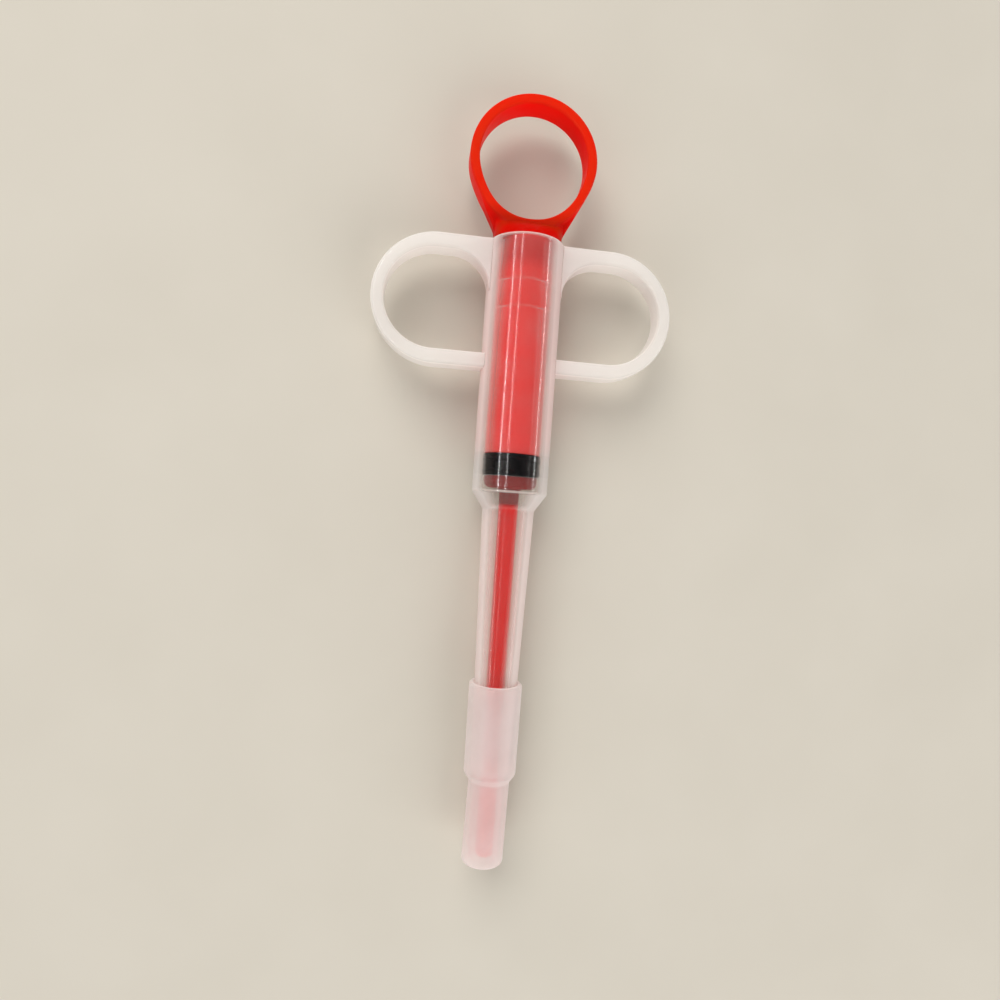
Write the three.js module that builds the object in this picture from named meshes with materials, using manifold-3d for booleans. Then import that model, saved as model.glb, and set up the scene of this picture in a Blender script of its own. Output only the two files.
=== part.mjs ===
// An oral dosing syringe for pills and liquids, lying on its side.
//
// Units are millimetres. The syringe's axis runs along Y, with the thumb ring at +Y and the soft
// tip at -Y. The finger loops spread along X and +Z is up. The origin is on the ground, under the
// middle of the box.
//
// Its four pieces, as they come apart on a bench:
//   barrel       translucent moulding: wide bore, shoulder, tapered nose, two closed finger loops
//   plunger      red moulding: thumb ring, flared foot, shaft, seal groove, piston nose, push rod
//   piston_seal  black rubber sleeve with two ribs, held in the plunger's groove
//   soft_tip     silicone sleeve pushed over the barrel's nose

import * as THREE from "three";
import { mergeVertices } from "three/addons/utils/BufferGeometryUtils.js";
import Module from "manifold-3d";

// ---- Driving dimensions ----
// A station is a distance along the axis from the soft tip's open end, which is station 0.

const OVERALL_LENGTH = 166;
const ROUND_SEGMENTS = 48;
const ARC_STEPS = 12;
const OVERSHOOT = 2;
const RUNNING_GAP = 0.2;
const SEATED_GAP = 0.3;
const WELD_DISTANCE = 1e-4;

const BARREL = {
  noseEnd: 20.2,
  noseRadius: 4.2,
  shoulderLow: 76.6,
  shoulderLowRadius: 5.65,
  shoulderHigh: 80.3,
  radius: 8.2,
  rim: 134.35,
};

const BORE = { radius: 6.4, floor: 80.5, throat: 77.6, throatRadius: 3.9, noseRadius: 2.9 };

const BEADS = { stations: [119.6, 125.4], height: 0.35, halfLength: 0.7 };

const LOOP = {
  outerRadius: 13.95,
  holeRadius: 10.65,
  depth: 5.8,
  archCentreX: 18.65,
  holeCentreX: 19.2,
  filletRadius: 8.2,
};

const RING = {
  radius: 13.8,
  holeRadius: 11.75,
  depth: 6,
  top: OVERALL_LENGTH,
  holeBottom: 139.2,
  bandThickness: 1.95,
  webDepth: 4.6,
  sideAngle: THREE.MathUtils.degToRad(27),
  holeSideAngle: THREE.MathUtils.degToRad(15),
  holeSideReach: 0.30,
  holeBottomReach: 0.66,
};

const FOOT = {
  halfWidth: 7.2,
  halfDepth: 5.65,
  flareHeight: 5.65,
  top: 140.4,
  topHalfWidth: 8.8,
  topHalfDepth: 2.3,
  topPower: 2.6,
};

const SHAFT = { radius: 6.0, groove: 4.5, noseRadius: 5.75, noseEnd: 81.2, noseRound: 0.8 };

const ROD = { radius: 1.9, rootRadius: 2.15, end: 1.3, endRound: 0.5 };

const SEAL = {
  low: 84,
  high: 88.4,
  bodyRadius: 5.85,
  ribRadius: 6.25,
  ribs: [85, 87.4],
  ribHalf: 0.45,
};

const TIP = {
  step: 18.2,
  mouth: 38.9,
  narrowRadius: 4.5,
  wideRadius: 5.7,
  mouthRadius: 5.8,
  holeRadius: 3.3,
  endHoleRadius: 2.6,
  endWall: 1.2,
  ledge: 19.6,
  rounding: 0.6,
};

// ---- Small helpers ----

const wasm = await Module();
wasm.setup();

const alongAxis = (station) => station - OVERALL_LENGTH / 2;

/** A closed three.js geometry as a manifold solid. */
function toSolid(geometry) {
  const bare = geometry.clone();
  bare.deleteAttribute("normal");
  bare.deleteAttribute("uv");
  const merged = mergeVertices(bare, WELD_DISTANCE);
  const vertProperties = new Float32Array(merged.attributes.position.array);
  const triVerts = new Uint32Array(merged.index.array);
  return new wasm.Manifold(new wasm.Mesh({ numProp: 3, vertProperties, triVerts }));
}

/** A manifold solid as a three.js geometry. */
function toGeometry(solid) {
  const mesh = solid.getMesh();
  const geometry = new THREE.BufferGeometry();
  geometry.setAttribute("position", new THREE.BufferAttribute(mesh.vertProperties, 3));
  geometry.setIndex(new THREE.BufferAttribute(mesh.triVerts, 1));
  geometry.computeVertexNormals();
  return geometry;
}

/** A solid turned about the Y axis from [radius, station] pairs that start and end on the axis. */
function turned(pairs) {
  const points = pairs.map(([radius, station]) => new THREE.Vector2(radius, alongAxis(station)));
  return new THREE.LatheGeometry(points, ROUND_SEGMENTS);
}

/** A flat outline in the XY plane, given depth along Z and centred on the axis. */
function plate(shape, depth) {
  const options = { depth, bevelEnabled: false, curveSegments: ARC_STEPS };
  return new THREE.ExtrudeGeometry(shape, options).translate(0, 0, -depth / 2);
}

/** A solid through a list of closed sections with the same number of points, capped at both ends. */
function lofted(sections) {
  const count = sections[0].length;
  const centres = [sections[0], sections.at(-1)].map((section) =>
    section.reduce((sum, point) => sum.add(point), new THREE.Vector3()).divideScalar(count),
  );
  const positions = [...sections.flat(), ...centres].flatMap((point) => point.toArray());
  const bottom = sections.length * count;
  const topRow = (sections.length - 1) * count;
  const triangles = [];
  for (let i = 0; i < count; i += 1) {
    const next = (i + 1) % count;
    for (let row = 0; row < topRow; row += count) {
      triangles.push(row + i, row + next, row + count + i);
      triangles.push(row + next, row + count + next, row + count + i);
    }
    triangles.push(bottom, next, i);
    triangles.push(bottom + 1, topRow + i, topRow + next);
  }
  const geometry = new THREE.BufferGeometry();
  geometry.setAttribute("position", new THREE.Float32BufferAttribute(positions, 3));
  geometry.setIndex(triangles);
  return geometry;
}

// ---- Barrel ----

function barrelBody() {
  return turned([
    [0, BARREL.noseEnd],
    [BARREL.noseRadius, BARREL.noseEnd],
    [BARREL.shoulderLowRadius, BARREL.shoulderLow],
    [BARREL.radius, BARREL.shoulderHigh],
    [BARREL.radius, BARREL.rim],
    [0, BARREL.rim],
  ]);
}

/** The bore, with the two shallow beads that keep the seal in. */
function barrelBore() {
  const beads = BEADS.stations.flatMap((station) => [
    [BORE.radius, station - BEADS.halfLength],
    [BORE.radius - BEADS.height, station],
    [BORE.radius, station + BEADS.halfLength],
  ]);
  return turned([
    [0, BARREL.noseEnd - OVERSHOOT],
    [BORE.noseRadius, BARREL.noseEnd - OVERSHOOT],
    [BORE.throatRadius, BORE.throat],
    [BORE.radius, BORE.floor],
    ...beads,
    [BORE.radius, BARREL.rim + OVERSHOOT],
    [0, BARREL.rim + OVERSHOOT],
  ]);
}

/** One finger loop on the +X side: a half stadium whose open end runs into the barrel. */
function loopOutline() {
  const centreY = alongAxis(BARREL.rim) - LOOP.outerRadius;
  const outline = new THREE.Shape();
  outline.moveTo(0, centreY - LOOP.outerRadius);
  outline.lineTo(LOOP.archCentreX, centreY - LOOP.outerRadius);
  outline.absarc(LOOP.archCentreX, centreY, LOOP.outerRadius, -Math.PI / 2, Math.PI / 2, false);
  outline.lineTo(0, centreY + LOOP.outerRadius);

  const holeRadius = LOOP.holeRadius;
  const filletX = BARREL.radius + LOOP.filletRadius;
  const filletY = centreY + holeRadius - LOOP.filletRadius;
  const hole = new THREE.Path();
  hole.moveTo(BARREL.radius - OVERSHOOT / 2, centreY - holeRadius);
  hole.lineTo(LOOP.holeCentreX, centreY - holeRadius);
  hole.absarc(LOOP.holeCentreX, centreY, holeRadius, -Math.PI / 2, Math.PI / 2, false);
  hole.absarc(filletX, filletY, LOOP.filletRadius, Math.PI / 2, Math.PI, false);
  hole.lineTo(BARREL.radius - OVERSHOOT / 2, filletY);
  outline.holes.push(hole);
  return outline;
}

function barrelGeometry() {
  const right = toSolid(plate(loopOutline(), LOOP.depth));
  const left = right.mirror([1, 0, 0]);
  const outside = toSolid(barrelBody()).add(right).add(left);
  return toGeometry(outside.subtract(toSolid(barrelBore())));
}

// ---- Plunger ----

const ringCentreY = alongAxis(RING.top) - RING.radius;

/** The thumb hole: a round top, and straighter sides that close in to a rounded bottom. */
function thumbHole(offset) {
  const radius = RING.holeRadius + offset;
  const angle = RING.holeSideAngle;
  const sideX = radius * Math.cos(angle);
  const sideY = ringCentreY - radius * Math.sin(angle);
  const bottomY = alongAxis(RING.holeBottom) - offset;
  const sideReach = radius * RING.holeSideReach;
  const controlX = sideX - sideReach * Math.sin(angle);
  const controlY = sideY - sideReach * Math.cos(angle);
  const bottomReach = radius * RING.holeBottomReach;
  const path = new THREE.Shape();
  path.absarc(0, ringCentreY, radius, -angle, Math.PI + angle, false);
  path.bezierCurveTo(-controlX, controlY, -bottomReach, bottomY, 0, bottomY);
  path.bezierCurveTo(bottomReach, bottomY, controlX, controlY, sideX, sideY);
  return path;
}

/** The band round the thumb hole. */
function ringBand() {
  const band = thumbHole(RING.bandThickness);
  band.holes.push(thumbHole(0));
  return plate(band, RING.depth);
}

/** The flat web that fills the ring's tapering lower half, down to the foot. */
function ringWeb() {
  const footY = alongAxis(BARREL.rim) + SEATED_GAP;
  const sideX = RING.radius * Math.cos(RING.sideAngle);
  const sideY = ringCentreY - RING.radius * Math.sin(RING.sideAngle);
  const flareY = footY + FOOT.flareHeight;
  const flareX = sideX - (sideY - flareY) * Math.tan(RING.sideAngle);
  const web = new THREE.Shape();
  web.absarc(0, ringCentreY, RING.radius, -RING.sideAngle, Math.PI + RING.sideAngle, false);
  web.lineTo(-flareX, flareY);
  web.lineTo(-FOOT.halfWidth, footY);
  web.lineTo(FOOT.halfWidth, footY);
  web.lineTo(flareX, flareY);
  web.holes.push(thumbHole(0));
  return plate(web, RING.webDepth);
}

/** A closed oval section across the axis; a higher power is squarer. */
function ovalSection(halfWidth, halfDepth, power, y) {
  const round = (value) => Math.sign(value) * Math.abs(value) ** (2 / power);
  return Array.from({ length: ROUND_SEGMENTS }, (_, i) => {
    const angle = (2 * Math.PI * i) / ROUND_SEGMENTS;
    return new THREE.Vector3(halfWidth * round(Math.sin(angle)), y, halfDepth * round(Math.cos(angle)));
  });
}

/** The flared foot that rests on the barrel's rim and blends the round shaft into the flat ring. */
function ringFoot() {
  const low = ovalSection(FOOT.halfWidth, FOOT.halfDepth, 2, alongAxis(BARREL.rim) + SEATED_GAP);
  const high = ovalSection(FOOT.topHalfWidth, FOOT.topHalfDepth, FOOT.topPower, alongAxis(FOOT.top));
  return lofted([low, high]);
}

/** Shaft, seal groove, piston nose and push rod, turned in one. */
function plungerStem() {
  const rodStart = SHAFT.noseEnd - OVERSHOOT;
  return turned([
    [0, ROD.end],
    [ROD.radius - ROD.endRound, ROD.end],
    [ROD.radius, ROD.end + ROD.endRound],
    [ROD.rootRadius, rodStart],
    [ROD.rootRadius + SHAFT.noseRound, SHAFT.noseEnd],
    [SHAFT.noseRadius - SHAFT.noseRound, SHAFT.noseEnd],
    [SHAFT.noseRadius, SHAFT.noseEnd + SHAFT.noseRound],
    [SHAFT.noseRadius, SEAL.low - RUNNING_GAP],
    [SHAFT.groove, SEAL.low - RUNNING_GAP],
    [SHAFT.groove, SEAL.high + RUNNING_GAP],
    [SHAFT.radius, SEAL.high + RUNNING_GAP],
    [SHAFT.radius, BARREL.rim + OVERSHOOT],
    [0, BARREL.rim + OVERSHOOT],
  ]);
}

function plungerGeometry() {
  const pieces = [ringBand(), ringWeb(), ringFoot(), plungerStem()].map(toSolid);
  return toGeometry(pieces.reduce((whole, piece) => whole.add(piece)));
}

// ---- Piston seal ----

function sealGeometry() {
  const inner = SHAFT.groove + RUNNING_GAP;
  const ribs = SEAL.ribs.flatMap((station) => [
    [SEAL.bodyRadius, station - SEAL.ribHalf],
    [SEAL.ribRadius, station],
    [SEAL.bodyRadius, station + SEAL.ribHalf],
  ]);
  return turned([
    [inner, SEAL.low],
    [SEAL.bodyRadius, SEAL.low],
    ...ribs,
    [SEAL.bodyRadius, SEAL.high],
    [inner, SEAL.high],
    [inner, SEAL.low],
  ]);
}

// ---- Soft tip ----

/** The barrel nose's outside radius at a station, on its straight taper. */
function noseRadiusAt(station) {
  const share = (station - BARREL.noseEnd) / (BARREL.shoulderLow - BARREL.noseEnd);
  return THREE.MathUtils.lerp(BARREL.noseRadius, BARREL.shoulderLowRadius, share);
}

function tipGeometry() {
  const shoulder = TIP.step + TIP.wideRadius - TIP.narrowRadius;
  return turned([
    [TIP.endHoleRadius, 0],
    [TIP.narrowRadius - TIP.rounding, 0],
    [TIP.narrowRadius, TIP.rounding],
    [TIP.narrowRadius, TIP.step],
    [TIP.wideRadius, shoulder],
    [TIP.mouthRadius, TIP.mouth - TIP.rounding],
    [TIP.mouthRadius - TIP.rounding / 2, TIP.mouth],
    [noseRadiusAt(TIP.mouth) + RUNNING_GAP, TIP.mouth],
    [noseRadiusAt(TIP.ledge) + RUNNING_GAP, TIP.ledge],
    [TIP.holeRadius, TIP.ledge],
    [TIP.holeRadius, TIP.endWall],
    [TIP.endHoleRadius, TIP.endWall],
    [TIP.endHoleRadius, 0],
  ]);
}

// ---- The assembly ----

const LOOKS = {
  translucentPlastic: { color: 0xe6dcd2, roughness: 0.35, opacity: 0.5, transparent: true },
  redPlastic: { color: 0xe0260c, roughness: 0.4 },
  blackRubber: { color: 0x0c0c0f, roughness: 0.45 },
  milkySilicone: { color: 0xe4d2cd, roughness: 0.55, opacity: 0.7, transparent: true },
};

function part(name, geometry, look) {
  const mesh = new THREE.Mesh(geometry, new THREE.MeshStandardMaterial({ ...look, metalness: 0 }));
  mesh.name = name;
  return mesh;
}

const syringe = new THREE.Group();
syringe.position.z = BARREL.radius;
syringe.add(part("barrel", barrelGeometry(), LOOKS.translucentPlastic));
syringe.add(part("plunger", plungerGeometry(), LOOKS.redPlastic));
syringe.add(part("piston_seal", sealGeometry(), LOOKS.blackRubber));
syringe.add(part("soft_tip", tipGeometry(), LOOKS.milkySilicone));

export default syringe;
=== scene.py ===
"""Looks for the oral syringe: fine meshes, materials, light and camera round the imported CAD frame.

Lengths are millimetres, turned to metres where a mesh, a material or an object is made. A station
is a distance along the syringe's axis from the soft tip's open end, as in the CAD source.
"""

import math

import bmesh
import bpy
import numpy as np
from mathutils import Matrix, Vector


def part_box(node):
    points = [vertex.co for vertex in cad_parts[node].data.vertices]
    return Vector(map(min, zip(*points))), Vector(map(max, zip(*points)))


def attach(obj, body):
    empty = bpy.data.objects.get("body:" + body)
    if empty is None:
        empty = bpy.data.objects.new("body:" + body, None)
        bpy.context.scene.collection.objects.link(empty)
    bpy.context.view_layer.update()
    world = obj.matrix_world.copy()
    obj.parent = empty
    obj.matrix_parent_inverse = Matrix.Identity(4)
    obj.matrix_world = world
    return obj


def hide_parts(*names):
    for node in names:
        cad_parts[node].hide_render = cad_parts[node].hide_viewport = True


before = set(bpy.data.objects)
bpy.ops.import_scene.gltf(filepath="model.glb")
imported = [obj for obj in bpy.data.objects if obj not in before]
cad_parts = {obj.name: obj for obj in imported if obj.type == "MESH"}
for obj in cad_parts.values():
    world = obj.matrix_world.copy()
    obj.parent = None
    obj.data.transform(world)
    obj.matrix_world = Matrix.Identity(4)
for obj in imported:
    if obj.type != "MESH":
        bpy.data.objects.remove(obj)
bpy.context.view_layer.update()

# ---- Driving dimensions ----

MM = 0.001
AXIS_Z = (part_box("barrel")[0].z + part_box("barrel")[1].z) / 2 / MM
TIP_END_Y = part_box("soft_tip")[0].y / MM
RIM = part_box("barrel")[1].y / MM - TIP_END_Y
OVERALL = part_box("plunger")[1].y / MM - TIP_END_Y

BARREL = dict(
    radius=8.2,
    nose_end=20.2,
    nose_radius=4.2,
    shoulder_low=76.6,
    low_radius=5.65,
    shoulder_high=80.3,
)
BORE = dict(radius=6.4, floor=80.5, throat=77.6, throat_radius=3.9, nose_radius=2.9)
BEADS = dict(stations=(119.6, 125.4), height=0.16, half_length=0.5)
LOOP = dict(
    radius=13.95,
    hole_radius=10.65,
    arch_x=18.65,
    hole_x=19.2,
    depth=5.8,
    fillet=8.2,
    fillet_sink=0.3,
    edge_round=0.8,
    root_x=6.9,
    root_flare=0.15,
    flare_sink=0.8,
    flare_reach=2.2,
)
# Where along X the lower bar of a loop has its sections.
LOOP_LOWER_BAR = (14, 10, 9, BARREL["radius"], LOOP["root_x"])
RING = dict(
    radius=13.8,
    side_angle=math.radians(27),
    depth=6.0,
    band=1.95,
    web_depth=3.6,
    web_low=146,
    web_high=152,
    edge_round=0.5,
)
HOLE = dict(
    radius=11.75,
    side_angle=math.radians(15),
    side_reach=0.30,
    bottom=139.2,
    bottom_reach=0.66,
)
FOOT = dict(
    half_width=7.2,
    half_depth=5.65,
    least_depth=1.2,
    oval_power=2.8,
    low=RIM + 0.3,
    high=140.4,
    neck=5.4,
    neck_reach=3.0,
    flare_reach=1.6,
)
SHAFT = dict(radius=6.0, nose_radius=5.75, nose_end=81.2, nose_round=1.5)
ROD = dict(radius=1.9, root_radius=2.15, end=1.3)
SEAL = dict(
    low=83.8, high=88.6, body=6.2, rib=6.43, ribs=(84.75, 87.25), half_rib=0.45, inner=4.4, gap=0.03
)
TIP = dict(
    step=18.2,
    mouth=38.9,
    narrow=4.5,
    wide=5.7,
    mouth_radius=5.8,
    hole=3.3,
    end_hole=2.6,
    end_wall=1.2,
    ledge=19.6,
    taper=0.05,
    clearance=0.06,
    bend=0.35,
    bend_start=6.0,
)

# ---- Mesh helpers ----

TURN_STEPS = 160
ARC_STEPS = 7
PLATE_STEPS = 28
ROUND_SHARP_ANGLE = 35
FLAT_SHARP_ANGLE = 50
WELD_DISTANCE = 1e-6
LEAST_EDGE = 1e-7


def smooth_step(value, low, high):
    share = min(1.0, max(0.0, (value - low) / (high - low)))
    return share * share * (3 - 2 * share)


def to_frame(x, station, z):
    """A point beside the axis, as metres in the row frame."""
    return (x * MM, (station + TIP_END_Y) * MM, (z + AXIS_Z) * MM)


def add_object(name, points, faces, material, sharp_angle=ROUND_SHARP_ANGLE):
    mesh = bpy.data.meshes.new(name)
    mesh.from_pydata([to_frame(*p) for p in points], [], faces)
    mesh.materials.append(material)
    obj = bpy.data.objects.new(name, mesh)
    bpy.context.scene.collection.objects.link(obj)
    clean(obj, sharp_angle)
    return obj


def clean(obj, sharp_angle=ROUND_SHARP_ANGLE):
    """Welds doubled vertices, points the faces outward and shades smooth up to an angle."""
    work = bmesh.new()
    work.from_mesh(obj.data)
    bmesh.ops.remove_doubles(work, verts=work.verts, dist=WELD_DISTANCE)
    bmesh.ops.dissolve_degenerate(work, edges=work.edges, dist=LEAST_EDGE)
    bmesh.ops.recalc_face_normals(work, faces=work.faces)
    work.to_mesh(obj.data)
    work.free()
    obj.data.shade_smooth()
    obj.data.set_sharp_from_angle(angle=math.radians(sharp_angle))


def join(base, others):
    """Adds other closed objects to base as one solid."""
    for other in others:
        modifier = base.modifiers.new("join", "BOOLEAN")
        modifier.operation = "UNION"
        modifier.solver = "EXACT"
        modifier.object = other
    bpy.context.view_layer.update()
    evaluated = base.evaluated_get(bpy.context.evaluated_depsgraph_get())
    result = bpy.data.meshes.new_from_object(evaluated)
    base.modifiers.clear()
    base.data = result
    for other in others:
        bpy.data.objects.remove(other)
    clean(base)


def rounded(corners, closed=True):
    """A polyline through (x, y, fillet radius) corners, with an arc where there is a radius."""
    points = []
    count = len(corners)
    for i, (x, y, radius) in enumerate(corners):
        here = Vector((x, y))
        at_end = not closed and i in (0, count - 1)
        if radius == 0 or at_end:
            points.append(tuple(here))
            continue
        before = (Vector(corners[i - 1][:2]) - here).normalized()
        after = (Vector(corners[(i + 1) % count][:2]) - here).normalized()
        half = before.angle(after) / 2
        reach = radius / math.tan(half)
        centre = here + (before + after).normalized() * (radius / math.sin(half))
        start = here + before * reach - centre
        turn = start.angle_signed(here + after * reach - centre)
        for step in range(ARC_STEPS + 1):
            angle = -turn * step / ARC_STEPS
            rotated = Matrix.Rotation(angle, 2) @ start
            points.append(tuple(centre + rotated))
    return points


def quads(here, there, rows, closed=True):
    """Faces between two columns of points, which start at the indices here and there."""
    faces = []
    for row in range(rows if closed else rows - 1):
        following = (row + 1) % rows
        faces.append((here + row, here + following, there + following, there + row))
    return faces


def turned(name, profile, material, closed=True, bend=None):
    """A solid turned about the axis from (radius, station) points.

    The profile is a closed ring, or else an open line that starts and ends on the axis.
    """
    rows = len(profile)
    points, faces = [], []
    for step in range(TURN_STEPS):
        angle = 2 * math.pi * step / TURN_STEPS
        for radius, station in profile:
            shift = bend(station) if bend else 0.0
            points.append((radius * math.sin(angle) + shift, station, radius * math.cos(angle)))
        faces += quads(step * rows, (step + 1) % TURN_STEPS * rows, rows, closed)
    return add_object(name, points, faces, material)


def arc(centre, radius, start, end, steps):
    """Points on a circle, angles in radians."""
    angles = np.linspace(start, end, steps)
    return [(centre[0] + radius * math.cos(a), centre[1] + radius * math.sin(a)) for a in angles]


def bezier(p0, p1, p2, p3, steps):
    t = np.linspace(0, 1, steps)[:, None]
    p0, p1, p2, p3 = (np.array(p, float) for p in (p0, p1, p2, p3))
    curve = (1 - t) ** 3 * p0 + 3 * (1 - t) ** 2 * t * p1 + 3 * (1 - t) * t**2 * p2 + t**3 * p3
    return [tuple(p) for p in curve]


def ray_hit(outline, centre, angle):
    """Where a ray from centre leaves a closed outline round it."""
    nearly_zero = 1e-12
    slack = 1e-9
    start = np.array(outline) - centre
    edge = np.roll(start, -1, axis=0) - start
    way = np.array([math.cos(angle), math.sin(angle)])
    cross = way[0] * edge[:, 1] - way[1] * edge[:, 0]
    cross[np.abs(cross) < nearly_zero] = nearly_zero
    along = (start[:, 0] * edge[:, 1] - start[:, 1] * edge[:, 0]) / cross
    share = (start[:, 0] * way[1] - start[:, 1] * way[0]) / cross
    hits = (along > 0) & (share >= -slack) & (share <= 1 + slack)
    return np.array(centre) + way * along[hits].max()


def rounded_plate(name, hole, outline, centre, angles, half_depth, edge_round, material):
    """A plate with a hole and rounded edges, its faces at +-half_depth(x, y, distance from hole)."""
    quarter = np.linspace(0, math.pi / 2, ARC_STEPS)
    edge = edge_round * (1 - np.cos(quarter))
    points, faces, rows = [], [], 2 * (2 * ARC_STEPS + PLATE_STEPS)
    count = len(angles)
    for i, angle in enumerate(angles):
        inner, outer = ray_hit(hole, centre, angle), ray_hit(outline, centre, angle)
        width = float(np.linalg.norm(outer - inner))
        middle = np.linspace(edge_round, width - edge_round, PLATE_STEPS + 2)[1:-1]
        column = []
        for distance in np.concatenate([edge, middle, (width - edge)[::-1]]):
            x, y = inner + (outer - inner) * (distance / width)
            short = max(0.0, edge_round - min(distance, width - distance))
            drop = edge_round - math.sqrt(max(0.0, edge_round**2 - short**2))
            column.append((x, y, half_depth(x, y, distance) - drop))
        points += column + [(x, y, -z) for x, y, z in reversed(column)]
        faces += quads(i * rows, (i + 1) % count * rows, rows)
    return add_object(name, points, faces, material, FLAT_SHARP_ANGLE)


# ---- Materials ----

SOLID_IOR = 1.5
WHITE = (1, 1, 1)
# The middle stretch of a noise, which most of it lies in.
NOISE_LOW = 0.3
NOISE_HIGH = 0.7
# The share of a milky body's light that comes through it.
GLOW_SHARE = 0.4
# The share of a gloss that is seen square on, what edge-on adds, and how late that comes.
GLOSS = dict(square_on=0.03, edge_on=0.4, power=5)

# The barrel's haze: how much there is in each place, as a share of full milk.
HAZE = dict(
    loops=0.76,
    outer_edge=0.82,
    nose_bore=0.8,
    throat=0.12,
    more_in_bore=0.20,
    least_clouds=0.05,
    most_clouds=0.08,
    clouds_in_nose=0.55,
    bead=0.12,
    bore_floor=0.6,
)
# How far a surface turns away before its haze starts and is full, and how much earlier that is.
EDGE_ON = dict(outer=(0.26, 0.52), inner=(0.18, 0.50), early_in_nose=0.12, early_in_throat=0.07)
# The haze that the dark seal takes away over itself and under it.
CLEARED = dict(over_seal=0.93, under_seal=0.42)
# Distances from the axis that part the wall's inner surface from its outer one.
WALL_SPLIT = dict(nose_end=3.5, shoulder_low=4.8, shoulder_high=7.3)
# How much of the barrel's gloss is left on its inner surface, and anywhere in the nose.
GLOSS_LEFT = dict(inside=0.15, nose=0.3)

# Painted sheen and painted shade: the ring's front faces are painted more orange, as a sheen, than its
# sides, which are painted a deeper red, as shade: the heights above and below the axis between which
# that starts and stops, and how orange each is.
BAND_STARTS = (2.2, 2.9)
BAND_STOPS = (3.2, 4.2)
PAINTED_SHEEN = dict(sides=0.36, front=0.64, patches=0.06)


class Nodes:
    """A small helper that builds one material's node tree."""

    def __init__(self, name):
        self.material = bpy.data.materials.new(name)
        self.material.use_nodes = True
        self.tree = self.material.node_tree
        self.shader = self.tree.nodes["Principled BSDF"]
        self.place = self.tree.nodes.new("ShaderNodeTexCoord").outputs["Object"]

    def link(self, source, target):
        self.tree.links.new(source, target)

    def put(self, value, socket):
        """Gives a socket a plain value, or links it to another socket."""
        if isinstance(value, bpy.types.NodeSocket):
            self.link(value, socket)
        else:
            socket.default_value = value

    def node(self, kind, **inputs):
        made = self.tree.nodes.new(kind)
        for name, value in inputs.items():
            self.put(value, made.inputs[name.replace("_", " ")])
        return made

    def finish(self, surface):
        self.link(surface, self.tree.nodes["Material Output"].inputs["Surface"])
        return self.material

    def math(self, operation, a, b=0.0, clamp=False):
        made = self.tree.nodes.new("ShaderNodeMath")
        made.operation = operation
        made.use_clamp = clamp
        for socket, value in zip(made.inputs, (a, b)):
            self.put(value, socket)
        return made.outputs["Value"]

    def times(self, a, b):
        return self.math("MULTIPLY", a, b)

    def plus(self, a, b, clamp=False):
        return self.math("ADD", a, b, clamp)

    def one_minus(self, value):
        return self.math("SUBTRACT", 1, value)

    def spread(self, source, low, high, source_low=NOISE_LOW, source_high=NOISE_HIGH):
        """A value that runs from low to high while the source runs between its own two."""
        made = self.node("ShaderNodeMapRange", Value=source, To_Min=low, To_Max=high)
        made.inputs["From Min"].default_value = source_low
        made.inputs["From Max"].default_value = source_high
        return made.outputs["Result"]

    def fade(self, share, none, full):
        """A value that runs from none to full while a share runs from 0 to 1."""
        return self.spread(share, none, full, 0, 1)

    def along(self, axis):
        return self.node("ShaderNodeSeparateXYZ", Vector=self.place).outputs[axis]

    def away(self, axis, centre=0.0):
        """The distance from a plane across an axis, in metres."""
        return self.math("ABSOLUTE", self.math("SUBTRACT", self.along(axis), centre * MM))

    def change_at(self, station, low, high, before, after):
        """A value that runs from low to high, from before a station to after it."""
        return self.along_spread(low, high, station - before, station + after)

    def along_spread(self, low, high, low_station, high_station):
        """A value that runs from low to high between two stations."""
        start, end = (low_station + TIP_END_Y) * MM, (high_station + TIP_END_Y) * MM
        return self.spread(self.along("Y"), low, high, start, end)

    def between(self, low, high, blend):
        """One between two stations, falling to nothing over the blend beyond them."""
        middle, half = (low + high) / 2 + TIP_END_Y, (high - low) / 2
        return self.spread(self.away("Y", middle), 1, 0, half * MM, (half + blend) * MM)

    def noise(self, scale, detail=3.0, stretch=(1, 1, 1)):
        mapping = self.node("ShaderNodeMapping", Vector=self.place, Scale=stretch)
        place = mapping.outputs["Vector"]
        return self.node("ShaderNodeTexNoise", Vector=place, Scale=scale, Detail=detail).outputs["Fac"]

    def tint(self, source, dark, light):
        """Mixes the base colour from two by a noise."""
        made = self.tree.nodes.new("ShaderNodeMix")
        made.data_type = "RGBA"
        made.inputs["A"].default_value = (*dark, 1)
        made.inputs["B"].default_value = (*light, 1)
        self.link(self.spread(source, 0, 1), made.inputs["Factor"])
        self.link(made.outputs["Result"], self.shader.inputs["Base Color"])

    def paint_shade_between(self, low, high, blend, share):
        """Paints shade: takes the base colour down to a share of itself between two stations."""
        inside = self.between(low, high, blend)
        made = self.tree.nodes.new("ShaderNodeMix")
        made.data_type = "RGBA"
        made.blend_type = "MULTIPLY"
        made.inputs["B"].default_value = (share, share, share, 1)
        self.link(inside, made.inputs["Factor"])
        base = self.shader.inputs["Base Color"]
        self.link(base.links[0].from_socket, made.inputs["A"])
        self.link(made.outputs["Result"], base)

    def bump(self, source, distance, strength, below=None):
        made = self.node("ShaderNodeBump", Height=source, Distance=distance, Strength=strength)
        if below is not None:
            self.link(below, made.inputs["Normal"])
        return made.outputs["Normal"]

    def mixed(self, factor, first, second):
        made = self.tree.nodes.new("ShaderNodeMixShader")
        for socket, value in zip(made.inputs, (factor, first, second)):
            self.put(value, socket)
        return made.outputs[0]


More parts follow.
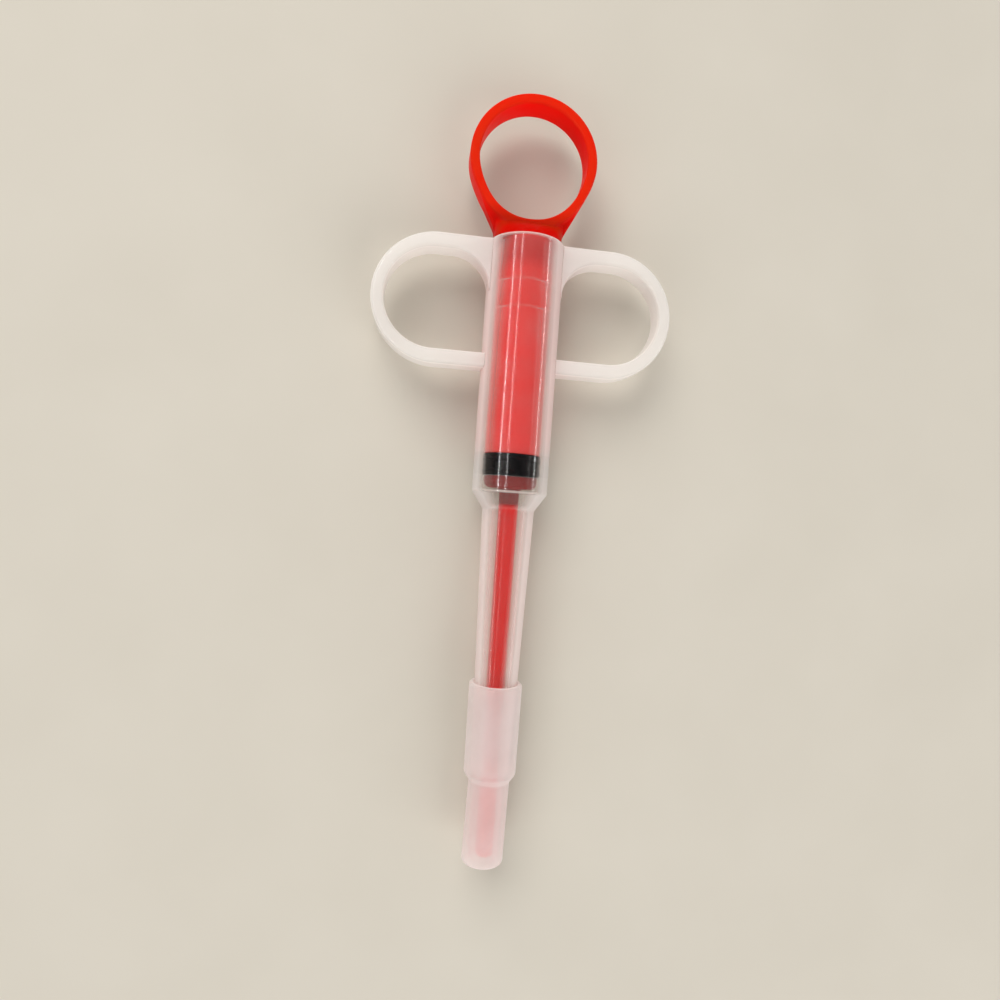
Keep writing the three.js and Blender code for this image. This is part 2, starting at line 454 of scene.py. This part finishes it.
def film(m, milk, haze, clear_tint, roughness, sheen, gloss_share=1.0):
    """Haze over what lies behind, under a thin gloss that grows where it's seen edge-on."""
    facing = m.node("ShaderNodeLayerWeight", Blend=0.5).outputs["Facing"]
    clear = m.node("ShaderNodeBsdfTransparent", Color=(*clear_tint, 1))
    body = m.mixed(haze(facing), clear.outputs[0], milk)
    shine = m.node("ShaderNodeBsdfGlossy", Color=(*WHITE, 1), Normal=sheen)
    m.link(m.spread(m.noise(900, detail=4), *roughness), shine.inputs["Roughness"])
    edge_on = m.times(m.math("POWER", facing, GLOSS["power"]), GLOSS["edge_on"])
    mirror = m.times(m.plus(edge_on, GLOSS["square_on"]), gloss_share)
    return m.finish(m.mixed(mirror, body, shine.outputs[0]))


def milky(m, dark, light, grain):
    """A matt body that scatters light from both of its sides."""
    shader = m.shader.inputs
    shader["Specular IOR Level"].default_value = 0.0
    shader["Roughness"].default_value = 0.5
    m.tint(m.noise(60), dark, light)
    m.link(grain, shader["Normal"])
    glow = m.node("ShaderNodeBsdfTranslucent", Color=(*light, 1))
    return m.mixed(GLOW_SHARE, m.shader.outputs[0], glow.outputs[0])


def left_clear(m):
    """The share of the barrel's haze that stays, less over the seal and under it."""
    seal = m.between(SEAL["low"] + 0.1, SEAL["high"] - 0.1, blend=0.15)
    under = m.between(BORE["floor"] + 0.5, SEAL["low"] - 0.3, blend=0.3)
    over_seal = m.times(seal, CLEARED["over_seal"])
    under_seal = m.times(under, CLEARED["under_seal"])
    return m.one_minus(m.plus(over_seal, under_seal, clamp=True))


def on_inner_surface(m, out):
    """One on the wall's inner surface and inside it, nothing on its outer surface."""
    nose_end, low, high = (BARREL[key] for key in ("nose_end", "shoulder_low", "shoulder_high"))
    split = {key: radius * MM for key, radius in WALL_SPLIT.items()}
    in_nose = m.along_spread(split["nose_end"], split["shoulder_low"], nose_end, low)
    more_above = m.along_spread(0, split["shoulder_high"] - split["shoulder_low"], low, high)
    return m.math("LESS_THAN", out, m.plus(in_nose, more_above))


def translucent_plastic():
    """Milky polypropylene: clear seen square on, milky edge-on, at the beads and in the loops."""
    m = Nodes("translucent_plastic")
    streaks = m.noise(180, detail=1, stretch=(1, 0.06, 1))
    waves = m.bump(streaks, distance=0.0003, strength=0.008)
    grain = m.bump(m.noise(2500, detail=2), distance=0.00004, strength=0.3, below=waves)
    milk = milky(m, (0.93, 0.90, 0.87), (0.97, 0.945, 0.915), grain)

    x, z = m.away("X"), m.away("Z", AXIS_Z)
    out = m.math("SQRT", m.plus(m.times(x, x), m.times(z, z)))
    wall = BARREL["radius"]
    loops = m.spread(out, 0.0, HAZE["loops"], (wall + 0.02) * MM, (wall + 0.1) * MM)
    inside = on_inner_surface(m, out)
    stays = left_clear(m)
    throat, floor = BORE["throat"], BORE["floor"]
    in_nose = m.change_at(floor, 1, 0, before=0.6, after=0.3)
    in_nose_bore = m.change_at(throat, HAZE["nose_bore"], HAZE["throat"], before=0.5, after=0.2)
    more_in_bore = m.change_at(floor, 0, HAZE["more_in_bore"], before=0.1, after=0.4)
    inner_share = m.times(m.plus(in_nose_bore, more_in_bore), inside)
    earliest, early = EDGE_ON["early_in_nose"], EDGE_ON["early_in_throat"]
    sooner = m.times(m.change_at(throat, earliest, early, before=1.0, after=0.2), in_nose)
    lines = [*((bead, HAZE["bead"]) for bead in BEADS["stations"]), (floor, HAZE["bore_floor"])]

    def haze(facing):
        turned_away = m.plus(facing, sooner)
        outer = m.spread(turned_away, 0, HAZE["outer_edge"], *EDGE_ON["outer"])
        inner = m.times(m.spread(turned_away, 0, 1, *EDGE_ON["inner"]), inner_share)
        clouds = m.spread(m.noise(140, detail=4), HAZE["least_clouds"], HAZE["most_clouds"])
        clouds = m.times(clouds, m.fade(in_nose, 1, HAZE["clouds_in_nose"]))
        total = m.times(m.plus(clouds, inner), stays)
        total = m.plus(total, m.times(outer, m.one_minus(inside)))
        for station, share in lines:
            line = m.times(m.between(station - 0.1, station + 0.1, blend=0.25), share)
            total = m.plus(total, m.times(line, inside))
        return m.plus(total, loops, clamp=True)

    inner_gloss = m.fade(inside, 1, GLOSS_LEFT["inside"])
    gloss_share = m.times(inner_gloss, m.fade(in_nose, 1, GLOSS_LEFT["nose"]))
    return film(m, milk, haze, (0.99, 0.975, 0.96), (0.10, 0.15), waves, gloss_share)


def red_plastic():
    """Opaque-looking polypropylene that still glows a little where it's thin, with painted sheen and
    painted shade.
    """
    m = Nodes("red_plastic")
    shader = m.shader.inputs
    shader["IOR"].default_value = SOLID_IOR
    shader["Specular IOR Level"].default_value = 0.04
    shader["Subsurface Weight"].default_value = 0.5
    shader["Subsurface Scale"].default_value = 0.003
    shader["Subsurface Radius"].default_value = (1.0, 0.06, 0.03)
    depth = m.away("Z", AXIS_Z)
    past_start = m.spread(depth, 0, 1, *(edge * MM for edge in BAND_STARTS))
    before_stop = m.spread(depth, 1, 0, *(edge * MM for edge in BAND_STOPS))
    # Painted sheen on the ring's front faces; painted shade, a deeper red, on its sides and recessed
    # web.
    front = m.fade(m.times(past_start, before_stop), PAINTED_SHEEN["sides"], PAINTED_SHEEN["front"])
    patches = m.spread(m.noise(90, detail=4), -PAINTED_SHEEN["patches"], PAINTED_SHEEN["patches"])
    m.tint(m.plus(front, patches), dark=(0.86, 0.002, 0.0004), light=(0.66, 0.022, 0.004))
    # Painted shade: the piston nose and the rod's upper end are darkened under the black seal.
    m.paint_shade_between(SHAFT["nose_end"] - 3.2, SEAL["low"] + 0.4, blend=1.0, share=0.26)
    # Painted shade: the shaft just below the rim and the foot are darkened.
    m.paint_shade_between(RIM - 4.0, FOOT["high"] - 1.5, blend=3.0, share=0.72)
    m.link(m.spread(m.noise(700, detail=4), 0.34, 0.44), shader["Roughness"])
    waves = m.bump(m.noise(200, detail=2), distance=0.0004, strength=0.04)
    grain = m.bump(m.noise(3600, detail=2), distance=0.00003, strength=0.12, below=waves)
    m.link(grain, shader["Normal"])
    return m.material


def black_rubber():
    m = Nodes("black_rubber")
    shader = m.shader.inputs
    shader["IOR"].default_value = SOLID_IOR
    shader["Specular IOR Level"].default_value = 0.12
    m.tint(m.noise(500, detail=4), dark=(0.002, 0.002, 0.003), light=(0.006, 0.006, 0.008))
    m.link(m.spread(m.noise(1500, detail=4), 0.25, 0.42), shader["Roughness"])
    m.link(m.bump(m.noise(5000), distance=0.00004, strength=0.4), shader["Normal"])
    return m.material


def milky_silicone():
    """Soft frosted silicone that only lets a blush of what it covers through."""
    m = Nodes("milky_silicone")
    grain = m.bump(m.noise(1800, detail=4), distance=0.00006, strength=0.4)
    milk = milky(m, (0.93, 0.87, 0.855), (0.98, 0.93, 0.92), grain)

    def haze(facing):
        edge = m.times(m.math("POWER", facing, 1.2), 0.6)
        return m.plus(edge, m.spread(m.noise(120), 0.39, 0.45), clamp=True)

    return film(m, milk, haze, (0.99, 0.95, 0.94), (0.38, 0.50), grain)


def floor_paint():
    m = Nodes("floor_paint")
    m.tint(m.noise(30), dark=(0.60, 0.56, 0.483), light=(0.62, 0.58, 0.503))
    m.shader.inputs["Roughness"].default_value = 0.8
    return m.material


# ---- Barrel ----


def bead_corners(station):
    """A low retaining bead inside the bore, from its upper side to its lower side."""
    radius, half = BORE["radius"], BEADS["half_length"]
    return [
        (radius, station + half, 0),
        (radius - BEADS["height"], station, 0.5),
        (radius, station - half, 0),
    ]


def barrel_profile():
    """The wall's section as a closed outline: up the outside, over the rim and down the bore."""
    lower_bead, upper_bead = BEADS["stations"]
    return rounded(
        [
            (BARREL["nose_radius"], BARREL["nose_end"], 0.5),
            (BARREL["low_radius"], BARREL["shoulder_low"], 1.2),
            (BARREL["radius"], BARREL["shoulder_high"], 0.9),
            (BARREL["radius"], RIM, 0.35),
            (BORE["radius"], RIM, 0.5),
            *bead_corners(upper_bead),
            *bead_corners(lower_bead),
            (BORE["radius"], BORE["floor"], 0.5),
            (BORE["throat_radius"], BORE["throat"], 1.0),
            (BORE["nose_radius"], BARREL["nose_end"], 0.4),
        ]
    )


def loop_sections():
    """Outer and inner edge points of the +X loop's bar, from its upper root to its lower root."""
    radius, hole_radius, fillet = LOOP["radius"], LOOP["hole_radius"], LOOP["fillet"]
    middle, wall = RIM - radius, BARREL["radius"] - LOOP["fillet_sink"]
    quarter = np.linspace(0, math.pi / 2, 24)
    curve = [(wall + fillet * (1 - math.cos(a)), fillet * (1 - math.sin(a))) for a in quarter]
    corner = [(LOOP["root_x"], fillet), *curve, (LOOP["arch_x"] - 1, 0)]
    upper = [((x, RIM), (x, middle + hole_radius - drop)) for x, drop in corner]
    outer = arc((LOOP["arch_x"], middle), radius, math.pi / 2, -math.pi / 2, 110)
    inner = arc((LOOP["hole_x"], middle), hole_radius, math.pi / 2, -math.pi / 2, 110)
    lower = [((x, middle - radius), (x, middle - hole_radius)) for x in LOOP_LOWER_BAR]
    return upper + list(zip(outer, inner)) + lower


def bar_section(outer, inner, half_depth):
    """A rounded rectangle from the outer to the inner edge, +-half_depth across."""
    width = math.dist(outer, inner)
    corners = [(0, -half_depth), (width, -half_depth), (width, half_depth), (0, half_depth)]
    outline = rounded([(d, z, LOOP["edge_round"]) for d, z in corners])
    (x, y), across = outer, (inner[0] - outer[0], inner[1] - outer[1])
    return [(x + across[0] * (d / width), y + across[1] * (d / width), z) for d, z in outline]


def finger_loop(material):
    """One closed bar, a little deeper at its roots in the barrel's wall."""
    flare_start = BARREL["radius"] - LOOP["flare_sink"]
    flare_end = BARREL["radius"] + LOOP["flare_reach"]
    points, faces, rows = [], [], 0
    for outer, inner in loop_sections():
        flare = LOOP["root_flare"] * (1 - smooth_step(outer[0], flare_start, flare_end))
        section = bar_section(outer, inner, LOOP["depth"] / 2 + flare)
        rows = len(section)
        if points:
            faces += quads(len(points) - rows, len(points), rows)
        points += section
    faces.append(tuple(range(rows)))
    faces.append(tuple(range(len(points) - rows, len(points))))
    return add_object("loop", points, faces, material, FLAT_SHARP_ANGLE)


def mirrored(obj, name):
    """A copy of an object on the other side of the axis."""
    copy = bpy.data.objects.new(name, obj.data.copy())
    bpy.context.scene.collection.objects.link(copy)
    copy.data.transform(Matrix.Scale(-1, 4, (1, 0, 0)))
    clean(copy)
    return copy


def make_barrel(material):
    barrel = turned("barrel_moulding", barrel_profile(), material)
    right = finger_loop(material)
    left = mirrored(right, "loop_left")
    join(barrel, [right, left])
    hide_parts("barrel")
    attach(barrel, "barrel")


# ---- Plunger ----


def thumb_hole(ring_y):
    """The thumb hole: a round top, and straighter sides that close in to a rounded bottom."""
    radius, angle = HOLE["radius"], HOLE["side_angle"]
    side = (radius * math.cos(angle), ring_y - radius * math.sin(angle))
    reach = radius * HOLE["side_reach"]
    control = (side[0] - reach * math.sin(angle), side[1] - reach * math.cos(angle))
    bottom = (0.0, HOLE["bottom"])
    bottom_control = (radius * HOLE["bottom_reach"], HOLE["bottom"])
    top = arc((0, ring_y), radius, -angle, math.pi + angle, 120)
    right = bezier(bottom, bottom_control, control, side, 40)
    left = [(-x, y) for x, y in reversed(right)]
    return top + left[1:-1] + right[:-1]


def ring_outline(ring_y):
    """The ring's outside: round above, tangent sides below, and a small flare into the foot."""
    radius, angle = RING["radius"], RING["side_angle"]
    side = (radius * math.cos(angle), ring_y - radius * math.sin(angle))
    neck_y = FOOT["low"] + FOOT["neck"]
    neck_x = side[0] - (side[1] - neck_y) * math.tan(angle)
    foot = (FOOT["half_width"], FOOT["low"])
    foot_control = (foot[0], foot[1] + FOOT["flare_reach"])
    reach = FOOT["neck_reach"]
    neck_control = (neck_x - reach * math.tan(angle), neck_y - reach)
    flare = bezier(foot, foot_control, neck_control, (neck_x, neck_y), 16)
    round_top = arc((0, ring_y), radius, -angle, math.pi + angle, 140)
    left = [(-x, y) for x, y in reversed(flare)]
    return round_top + left + flare


def ring_half_depth(x, y, distance):
    """Half the handle's depth: a raised band round the hole, a thinner web, and a round foot."""
    band, power = RING["depth"] / 2, FOOT["oval_power"]
    above_web = smooth_step(y, RING["web_low"], RING["web_high"])
    web = band + (RING["web_depth"] / 2 - band) * (1 - above_web)
    oval = max(0.0, 1 - abs(x / (FOOT["half_width"] + 0.25)) ** power) ** (1 / power)
    foot = max(FOOT["half_depth"] * oval, FOOT["least_depth"])
    share = 1 - smooth_step(y, FOOT["low"], FOOT["high"])
    web += (foot - web) * share
    raised = 1 - smooth_step(distance, RING["band"] - 0.35, RING["band"] + 0.5)
    return web + max(0.0, band - web) * raised


def thumb_ring(material):
    """The ring and its foot, in columns that spread from a point a little below the middle."""
    ring_y = OVERALL - RING["radius"]
    centre = (0.0, ring_y - 2)
    corner = math.atan2(FOOT["low"] - centre[1], FOOT["half_width"])
    spread = np.linspace(corner, math.pi - corner, 260)
    under = np.linspace(-math.pi - corner, corner, 60)[1:-1]
    return rounded_plate(
        "thumb_ring",
        thumb_hole(ring_y),
        ring_outline(ring_y),
        centre,
        np.concatenate([spread, under]),
        ring_half_depth,
        RING["edge_round"],
        material,
    )


def stem_profile():
    """Push rod, piston nose, seal groove and shaft, from the rod's end up into the foot."""
    shaft_end = FOOT["low"] + 1.0
    return rounded(
        [
            (0, ROD["end"], 0),
            (ROD["radius"], ROD["end"], 0.6),
            (ROD["root_radius"], SHAFT["nose_end"] - 1.0, 0),
            (ROD["root_radius"] + 0.1, SHAFT["nose_end"], 0.8),
            (SHAFT["nose_radius"], SHAFT["nose_end"], SHAFT["nose_round"]),
            (SHAFT["nose_radius"], SEAL["low"], 0.15),
            (SEAL["inner"], SEAL["low"], 0),
            (SEAL["inner"], SEAL["high"], 0),
            (SHAFT["radius"], SEAL["high"], 0.2),
            (SHAFT["radius"], shaft_end, 0),
            (0, shaft_end, 0),
        ],
        closed=False,
    )


def make_plunger(material):
    plunger = turned("plunger_moulding", stem_profile(), material, closed=False)
    join(plunger, [thumb_ring(material)])
    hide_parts("plunger")
    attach(plunger, "plunger")


# ---- Seal ----


def rib_corners(station):
    """One of the seal's ribs, from its lower side to its upper side."""
    return [
        (SEAL["body"], station - SEAL["half_rib"], 0.1),
        (SEAL["rib"], station, 0.12),
        (SEAL["body"], station + SEAL["half_rib"], 0.1),
    ]


def make_seal(material):
    low, high = SEAL["low"] + SEAL["gap"], SEAL["high"] - SEAL["gap"]
    inner = SEAL["inner"] + SEAL["gap"]
    lower_rib, upper_rib = SEAL["ribs"]
    profile = [
        (inner, low, 0.1),
        (SEAL["body"], low, 0.35),
        *rib_corners(lower_rib),
        *rib_corners(upper_rib),
        (SEAL["body"], high, 0.35),
        (inner, high, 0.1),
    ]
    seal = turned("seal_ring", rounded(profile), material)
    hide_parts("piston_seal")
    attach(seal, "seal")


# ---- Soft tip ----


def over_nose(station):
    """The soft tip's inner radius at a station where it covers the nose."""
    share = (station - BARREL["nose_end"]) / (BARREL["shoulder_low"] - BARREL["nose_end"])
    nose = BARREL["nose_radius"] + share * (BARREL["low_radius"] - BARREL["nose_radius"])
    return nose + TIP["clearance"]


def tip_lean(station):
    """How far the soft tip leans to one side below its ledge."""
    return -TIP["bend"] * (1 - smooth_step(station, TIP["bend_start"], TIP["ledge"]))


def make_soft_tip(material):
    profile = [
        (TIP["end_hole"], 0, 0.35),
        (TIP["narrow"], 0, 0.7),
        (TIP["narrow"] - TIP["taper"], TIP["step"] - 0.5, 1.6),
        (TIP["wide"] - TIP["taper"], TIP["step"] + 1.2, 1.4),
        (TIP["mouth_radius"], TIP["mouth"], 0.65),
        (over_nose(TIP["mouth"]), TIP["mouth"], 0.3),
        (over_nose(TIP["ledge"]), TIP["ledge"], 0.3),
        (TIP["hole"], TIP["ledge"], 0.3),
        (TIP["hole"], TIP["end_wall"], 0.3),
        (TIP["end_hole"], TIP["end_wall"], 0.3),
    ]
    tip = turned("soft_tip_sleeve", rounded(profile), material, bend=tip_lean)
    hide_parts("soft_tip")
    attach(tip, "soft_tip")


# ---- Camera, light and floor ----

VIEW = dict(distance=147.0, roll=math.radians(4.07), yaw=math.radians(7.0), lens=24.24)
# A station on the axis, and how far right of the picture's middle and above it that is.
AIM = dict(station=77.2, right=1.79, up=-1.53)

# Lights: places in metres, power in watts.
PANELS = dict(
    key=dict(place=(-0.30, 0.68, 0.62), power=6.6, colour=(1.0, 0.985, 0.965)),
    fill_left=dict(place=(-0.42, -0.60, 0.44), power=2.1, colour=(1.0, 0.99, 0.98)),
    fill_right=dict(place=(0.50, -0.58, 0.44), power=3.7, colour=(1.0, 0.99, 0.98)),
)
PANEL_SIZE = (0.7, 0.7)
# Strips: angle round the syringe's axis from straight above in degrees, power in watts.
STRIPS = dict(strip_left=(-43, 1.2), strip_above=(-20, 0.6), strip_right=(66, 0.9))
STRIP_SIZE = (0.014, 0.7)
STRIP_REACH = 0.5
SKY_COLOUR = (1.0, 0.985, 0.96)
SKY_STRENGTH = 0.42
FLOOR_REACH = 15.0


def make_camera():
    """Looks down on the syringe's flat side, rolled and turned a little, from close by."""
    view = Matrix.Rotation(-VIEW["yaw"], 3, "Y") @ Matrix.Rotation(VIEW["roll"], 3, "Z")
    right, up, back = view.col
    aim = Vector((0, AIM["station"] + TIP_END_Y, AXIS_Z))
    place = aim + back * VIEW["distance"] - right * AIM["right"] - up * AIM["up"]
    camera = bpy.data.objects.new("camera", bpy.data.cameras.new("camera"))
    camera.data.lens = VIEW["lens"]
    camera.data.sensor_width = 36
    camera.data.clip_start = 0.01
    camera.data.clip_end = 20
    camera.matrix_world = Matrix.Translation(place * MM) @ view.to_4x4()
    bpy.context.scene.collection.objects.link(camera)
    bpy.context.scene.camera = camera


def make_area_light(name, place, size, power, colour=WHITE, only_in_gloss=False):
    """A light that faces the syringe. It lights the surfaces, or else shows only in their gloss."""
    light = bpy.data.lights.new(name, "AREA")
    light.shape = "RECTANGLE"
    light.size, light.size_y = size
    light.energy = power
    light.color = colour
    lamp = bpy.data.objects.new(name, light)
    lamp.location = place
    back = Vector(place).normalized()
    across = Vector((0, 1, 0)).cross(back).normalized()
    lamp.rotation_euler = Matrix((across, back.cross(across), back)).transposed().to_euler()
    lamp.visible_camera = False
    lamp.visible_glossy = only_in_gloss
    lamp.visible_diffuse = not only_in_gloss
    lamp.visible_transmission = not only_in_gloss
    bpy.context.scene.collection.objects.link(lamp)


def make_lights():
    """Soft panels light the syringe, and long thin strips give the highlights along it."""
    for name, panel in PANELS.items():
        make_area_light(name, panel["place"], PANEL_SIZE, panel["power"], panel["colour"])
    for name, (degrees, power) in STRIPS.items():
        angle = math.radians(degrees)
        place = (STRIP_REACH * math.sin(angle), 0.0, STRIP_REACH * math.cos(angle))
        make_area_light(name, place, STRIP_SIZE, power, only_in_gloss=True)


def make_floor(material):
    corners = [(-1, -1), (1, -1), (1, 1), (-1, 1)]
    mesh = bpy.data.meshes.new("floor")
    mesh.from_pydata([(x * FLOOR_REACH, y * FLOOR_REACH, 0) for x, y in corners], [], [(0, 1, 2, 3)])
    mesh.materials.append(material)
    floor = bpy.data.objects.new("floor", mesh)
    bpy.context.scene.collection.objects.link(floor)


def make_sky():
    """An even warm light from all round, which isn't seen in gloss."""
    world = bpy.data.worlds.new("soft_room")
    world.use_nodes = True
    background = world.node_tree.nodes["Background"]
    background.inputs["Color"].default_value = (*SKY_COLOUR, 1)
    background.inputs["Strength"].default_value = SKY_STRENGTH
    bpy.context.scene.world = world
    world.cycles_visibility.glossy = False


make_camera()
make_barrel(translucent_plastic())
make_plunger(red_plastic())
make_seal(black_rubber())
make_soft_tip(milky_silicone())
make_floor(floor_paint())
make_sky()
make_lights()
bpy.context.scene.view_settings.view_transform = "Standard"
